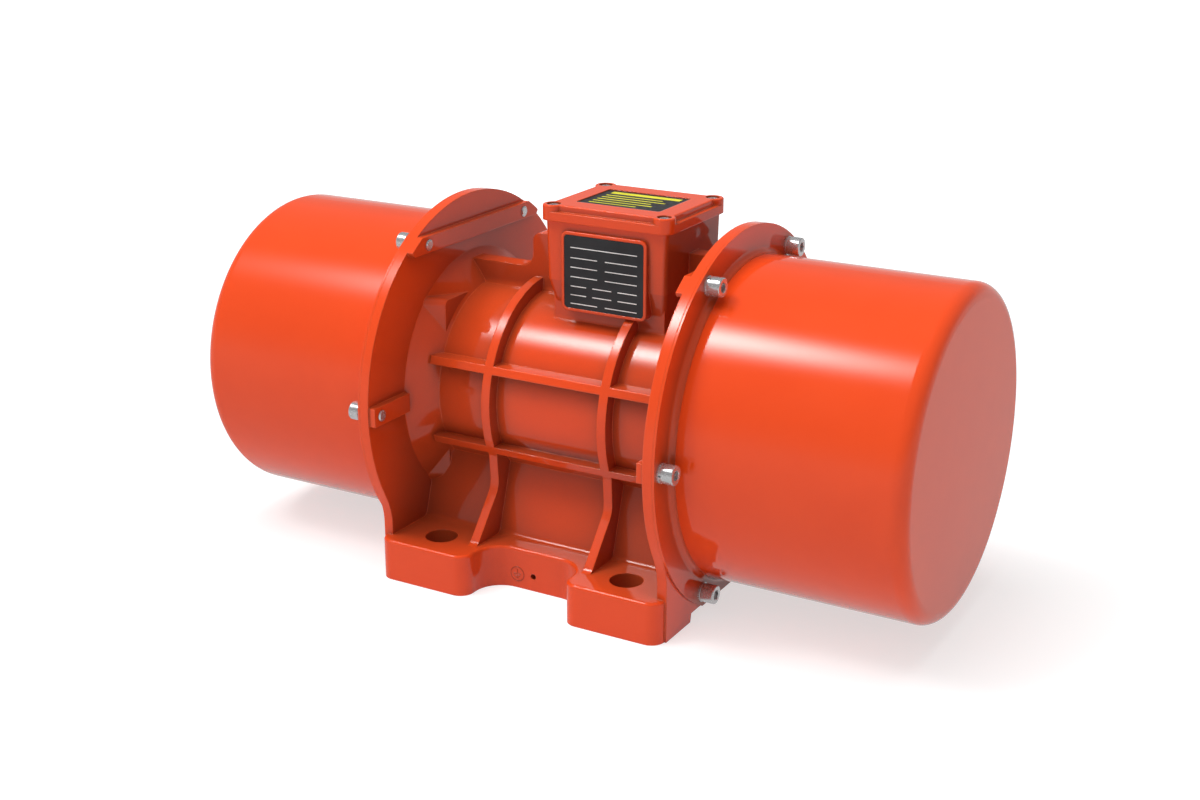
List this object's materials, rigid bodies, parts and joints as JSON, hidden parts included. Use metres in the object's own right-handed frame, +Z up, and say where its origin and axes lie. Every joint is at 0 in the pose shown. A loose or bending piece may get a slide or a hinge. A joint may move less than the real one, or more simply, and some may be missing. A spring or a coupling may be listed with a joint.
{
  "type": "vibration motor",
  "caption": "Rotary electric vibrator with a ribbed cast casing on foot pads, a drawn cover over each shaft end and a terminal box on top.",
  "frame": {"origin": "middle of the box round the part, at the level of the foot pads, under the middle of the shaft", "axes": "+X along the shaft, to the right seen from the nameplate side; -Y the front, with the nameplate; +Z up"},
  "size_m": [0.5436, 0.2656, 0.2656],
  "materials": {
    "orange_paint": "gloss orange-red paint over cast iron",
    "orange_paint_sheet": "gloss orange-red paint over drawn steel",
    "rubber": "matt",
    "bright_steel": "bright zinc-plated",
    "black_label": "satin black printed sheet",
    "brown_moulding": "matt moulding compound",
    "brass": "turned",
    "black_plastic": "matt moulded",
    "core_steel": "laminated electrical steel",
    "winding": "varnished copper wire",
    "cast_aluminium": "die cast",
    "ground_steel": "ground",
    "grey_iron": "machined grey iron"
  },
  "bodies": {
    "casing": {"bearing_cover_left": "grey_iron", "bearing_cover_right": "grey_iron", "bearing_cover_screws_left": "bright_steel", "bearing_cover_screws_right": "bright_steel", "bearing_flange_left": "grey_iron", "bearing_flange_right": "grey_iron", "bearing_flange_screws_left": "bright_steel", "bearing_flange_screws_right": "bright_steel", "bearing_outer_ring_left": "ground_steel", "bearing_outer_ring_right": "ground_steel", "box_earth_screw": "brass", "cable_gland": "black_plastic", "cover_left": "orange_paint_sheet", "cover_right": "orange_paint_sheet", "cover_rim_left": "orange_paint_sheet", "cover_rim_right": "orange_paint_sheet", "cover_screws_left": "bright_steel", "cover_screws_right": "bright_steel", "cover_seal_left": "rubber", "cover_seal_right": "rubber", "cover_washers_left": "bright_steel", "cover_washers_right": "bright_steel", "gland_seal": "rubber", "lid_gasket": "rubber", "lid_label_plate": "black_label", "lid_screws": "bright_steel", "motor_casing": "orange_paint", "nameplate": "black_label", "stator_core": "core_steel", "stator_windings": "winding", "terminal_board": "brown_moulding", "terminal_board_screws": "bright_steel", "terminal_box_lid": "orange_paint", "terminal_links": "brass", "terminal_studs": "brass"},
    "rotor": {"shaft": "ground_steel", "rotor_core": "core_steel", "rotor_end_rings": "cast_aluminium", "bearing_inner_ring_left": "ground_steel", "spacer_sleeve_left": "ground_steel", "fixed_weight_left": "grey_iron", "weight_key_left": "ground_steel", "weight_washer_left": "ground_steel", "setting_disc_left": "cast_aluminium", "shaft_nut_left": "bright_steel", "bearing_inner_ring_right": "ground_steel", "spacer_sleeve_right": "ground_steel", "fixed_weight_right": "grey_iron", "weight_key_right": "ground_steel", "weight_washer_right": "ground_steel", "setting_disc_right": "cast_aluminium", "shaft_nut_right": "bright_steel"},
    "rollers_left": {"roller_set_left": "ground_steel"},
    "rollers_right": {"roller_set_right": "ground_steel"},
    "weight_left": {"adjustable_weight_left": "grey_iron", "clamp_bolt_left": "bright_steel"},
    "weight_right": {"adjustable_weight_right": "grey_iron", "clamp_bolt_right": "bright_steel"}
  },
  "joints": [
    {"name": "rotor_spin", "type": "hinge", "parent": "casing", "child": "rotor", "pos_m": [0, 0, 0.1245], "axis": [1, 0, 0], "continuous": true},
    {"name": "rollers_left_spin", "type": "hinge", "parent": "casing", "child": "rollers_left", "pos_m": [-0.09, 0, 0.1245], "axis": [1, 0, 0], "continuous": true},
    {"name": "rollers_right_spin", "type": "hinge", "parent": "casing", "child": "rollers_right", "pos_m": [0.09, 0, 0.1245], "axis": [1, 0, 0], "continuous": true},
    {"name": "weight_left_setting", "type": "hinge", "parent": "rotor", "child": "weight_left", "pos_m": [-0.2, 0, 0.1245], "axis": [-1, 0, 0], "range_deg": [0, 180]},
    {"name": "weight_right_setting", "type": "hinge", "parent": "rotor", "child": "weight_right", "pos_m": [0.2, 0, 0.1245], "axis": [1, 0, 0], "range_deg": [0, 180]}
  ],
  "couplings": [
    {"joint": "rollers_left_spin", "follows": "rotor_spin", "ratio": 0.41739},
    {"joint": "rollers_right_spin", "follows": "rotor_spin", "ratio": 0.41739}
  ]
}
